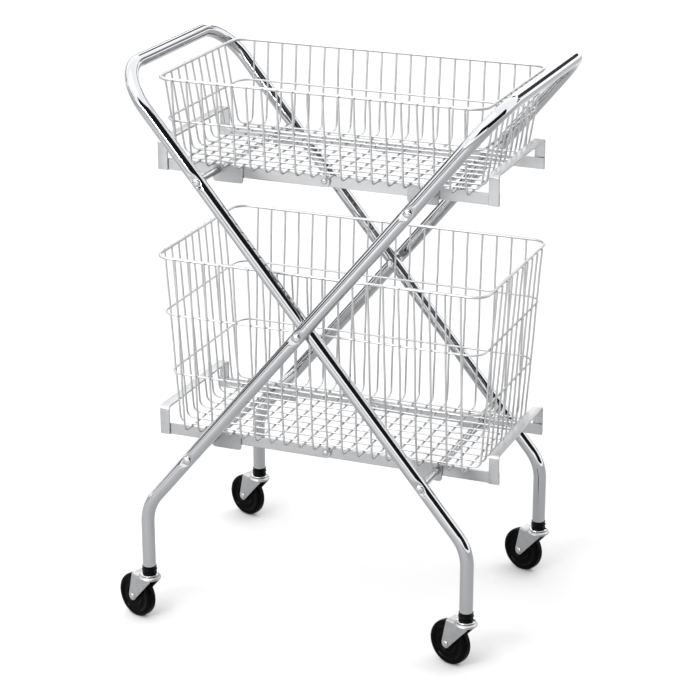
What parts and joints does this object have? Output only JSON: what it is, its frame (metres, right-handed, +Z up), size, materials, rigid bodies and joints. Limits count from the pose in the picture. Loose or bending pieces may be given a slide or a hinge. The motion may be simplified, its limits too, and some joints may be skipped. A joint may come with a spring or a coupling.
{
  "type": "folding double-basket shopping cart",
  "caption": "Folding X-frame shopping cart of bent chrome tube with an upper and a lower lift-off wire basket and swivel casters.",
  "frame": {"origin": "on the floor, under the frame's centre pivots, on the middle plane between the two sides", "axes": "+X runs along the baskets towards the frame B handle, +Y away from the near side, +Z up"},
  "size_m": [0.6692, 0.5, 0.9408],
  "materials": {
    "chrome_tube": "polished chrome plate on bent steel tube and rods",
    "plated_wire": "bright plated steel wire, resistance welded at the crossings",
    "plated_strip": "plated flat steel strip, slightly satin",
    "zinc_bolts": "plated bolts, mid-span rivets and spacer sleeves",
    "caster_steel": "stamped and zinc plated caster steel",
    "black_bushings": "moulded black plastic",
    "black_wheels": "hard black wheel, moulded and slightly glossy"
  },
  "bodies": {
    "pivot": {"pivot_bolts": "zinc_bolts", "pivot_spacers": "chrome_tube", "pivot_nuts": "zinc_bolts"},
    "frame_a": {"frame_a_tube": "chrome_tube", "frame_a_upper_rod": "chrome_tube", "frame_a_lower_rod": "chrome_tube", "frame_a_rod_bolts": "zinc_bolts", "frame_a_rod_sleeves": "zinc_bolts", "frame_a_bushings": "black_bushings", "frame_a_caster_stems": "caster_steel"},
    "caster_a_near": {"caster_a_near_fork": "caster_steel", "caster_a_near_axle": "caster_steel"},
    "wheel_a_near": {"caster_a_near_wheel": "black_wheels"},
    "caster_a_far": {"caster_a_far_fork": "caster_steel", "caster_a_far_axle": "caster_steel"},
    "wheel_a_far": {"caster_a_far_wheel": "black_wheels"},
    "frame_b": {"frame_b_tube": "chrome_tube", "frame_b_upper_rod": "chrome_tube", "frame_b_lower_rod": "chrome_tube", "frame_b_rod_bolts": "zinc_bolts", "frame_b_rod_sleeves": "zinc_bolts", "frame_b_bushings": "black_bushings", "frame_b_caster_stems": "caster_steel"},
    "caster_b_near": {"caster_b_near_fork": "caster_steel", "caster_b_near_axle": "caster_steel"},
    "wheel_b_near": {"caster_b_near_wheel": "black_wheels"},
    "caster_b_far": {"caster_b_far_fork": "caster_steel", "caster_b_far_axle": "caster_steel"},
    "wheel_b_far": {"caster_b_far_wheel": "black_wheels"},
    "upper_left_support": {"upper_left_side_bars": "plated_strip", "upper_left_end_rail": "plated_strip", "upper_left_pivot_plates": "plated_strip", "upper_left_mid_rivets": "zinc_bolts"},
    "upper_right_support": {"upper_right_side_bars": "plated_strip", "upper_right_end_rail": "plated_strip", "upper_right_pivot_plates": "plated_strip", "upper_right_mid_rivets": "zinc_bolts"},
    "upper_basket": {"upper_basket_rim": "plated_wire", "upper_basket_rings": "plated_wire", "upper_basket_cross_wires": "plated_wire", "upper_basket_long_wires": "plated_wire"},
    "lower_left_support": {"lower_left_side_bars": "plated_strip", "lower_left_end_rail": "plated_strip", "lower_left_pivot_plates": "plated_strip", "lower_left_mid_rivets": "zinc_bolts"},
    "lower_right_support": {"lower_right_side_bars": "plated_strip", "lower_right_end_rail": "plated_strip", "lower_right_pivot_plates": "plated_strip", "lower_right_mid_rivets": "zinc_bolts"},
    "lower_basket": {"lower_basket_rim": "plated_wire", "lower_basket_rings": "plated_wire", "lower_basket_cross_wires": "plated_wire", "lower_basket_long_wires": "plated_wire"}
  },
  "joints": [
    {"name": "fold_a", "type": "hinge", "parent": "pivot", "child": "frame_a", "pos_m": [0, 0, 0.542], "axis": [0, 1, 0], "range_deg": [0, 21]},
    {"name": "fold_b", "type": "hinge", "parent": "pivot", "child": "frame_b", "pos_m": [0, 0, 0.542], "axis": [0, -1, 0], "range_deg": [0, 21.1]},
    {"name": "upper_left_hinge", "type": "hinge", "parent": "frame_a", "child": "upper_left_support", "pos_m": [-0.18317, 0, 0.765], "axis": [0, -1, 0], "range_deg": [0, 81.29]},
    {"name": "upper_right_hinge", "type": "hinge", "parent": "frame_b", "child": "upper_right_support", "pos_m": [0.18317, 0, 0.765], "axis": [0, 1, 0], "range_deg": [0, 81.29]},
    {"name": "lower_left_hinge", "type": "hinge", "parent": "frame_b", "child": "lower_left_support", "pos_m": [-0.19467, 0, 0.305], "axis": [0, -1, 0], "range_deg": [0, 39.29]},
    {"name": "lower_right_hinge", "type": "hinge", "parent": "frame_a", "child": "lower_right_support", "pos_m": [0.19467, 0, 0.305], "axis": [0, 1, 0], "range_deg": [0, 39.29]},
    {"name": "upper_basket_lift", "type": "slide", "parent": "pivot", "child": "upper_basket", "axis": [0, 0, 1], "range_m": [0, 0.6617]},
    {"name": "lower_basket_lift", "type": "slide", "parent": "pivot", "child": "lower_basket", "axis": [0, 0, 1], "range_m": [0, 0.1596]},
    {"name": "caster_a_near_swivel", "type": "hinge", "parent": "frame_a", "child": "caster_a_near", "pos_m": [0.273, -0.19, 0.082], "axis": [0, 0, 1], "continuous": true},
    {"name": "wheel_a_near_spin", "type": "hinge", "parent": "caster_a_near", "child": "wheel_a_near", "pos_m": [0.24327, -0.17816, 0.0381], "axis": [-0.37, -0.929, 0], "continuous": true},
    {"name": "caster_a_far_swivel", "type": "hinge", "parent": "frame_a", "child": "caster_a_far", "pos_m": [0.273, 0.19, 0.082], "axis": [0, 0, 1], "continuous": true},
    {"name": "wheel_a_far_spin", "type": "hinge", "parent": "caster_a_far", "child": "wheel_a_far", "pos_m": [0.24327, 0.20184, 0.0381], "axis": [-0.37, -0.929, 0], "continuous": true},
    {"name": "caster_b_near_swivel", "type": "hinge", "parent": "frame_b", "child": "caster_b_near", "pos_m": [-0.273, -0.224, 0.082], "axis": [0, 0, 1], "continuous": true},
    {"name": "wheel_b_near_spin", "type": "hinge", "parent": "caster_b_near", "child": "wheel_b_near", "pos_m": [-0.30273, -0.21216, 0.0381], "axis": [-0.37, -0.929, 0], "continuous": true},
    {"name": "caster_b_far_swivel", "type": "hinge", "parent": "frame_b", "child": "caster_b_far", "pos_m": [-0.273, 0.224, 0.082], "axis": [0, 0, 1], "continuous": true},
    {"name": "wheel_b_far_spin", "type": "hinge", "parent": "caster_b_far", "child": "wheel_b_far", "pos_m": [-0.30273, 0.23584, 0.0381], "axis": [-0.37, -0.929, 0], "continuous": true}
  ],
  "couplings": [
    {"joint": "fold_b", "follows": "fold_a", "ratio": 1},
    {"joint": "upper_left_hinge", "follows": "fold_a", "ratio": 3.866},
    {"joint": "upper_right_hinge", "follows": "fold_a", "ratio": 3.866},
    {"joint": "lower_left_hinge", "follows": "fold_a", "ratio": 1.866},
    {"joint": "lower_right_hinge", "follows": "fold_a", "ratio": 1.866},
    {"joint": "upper_basket_lift", "follows": "fold_a", "m_per_rad": 1.8},
    {"joint": "lower_basket_lift", "follows": "fold_a", "m_per_rad": 0.43}
  ]
}
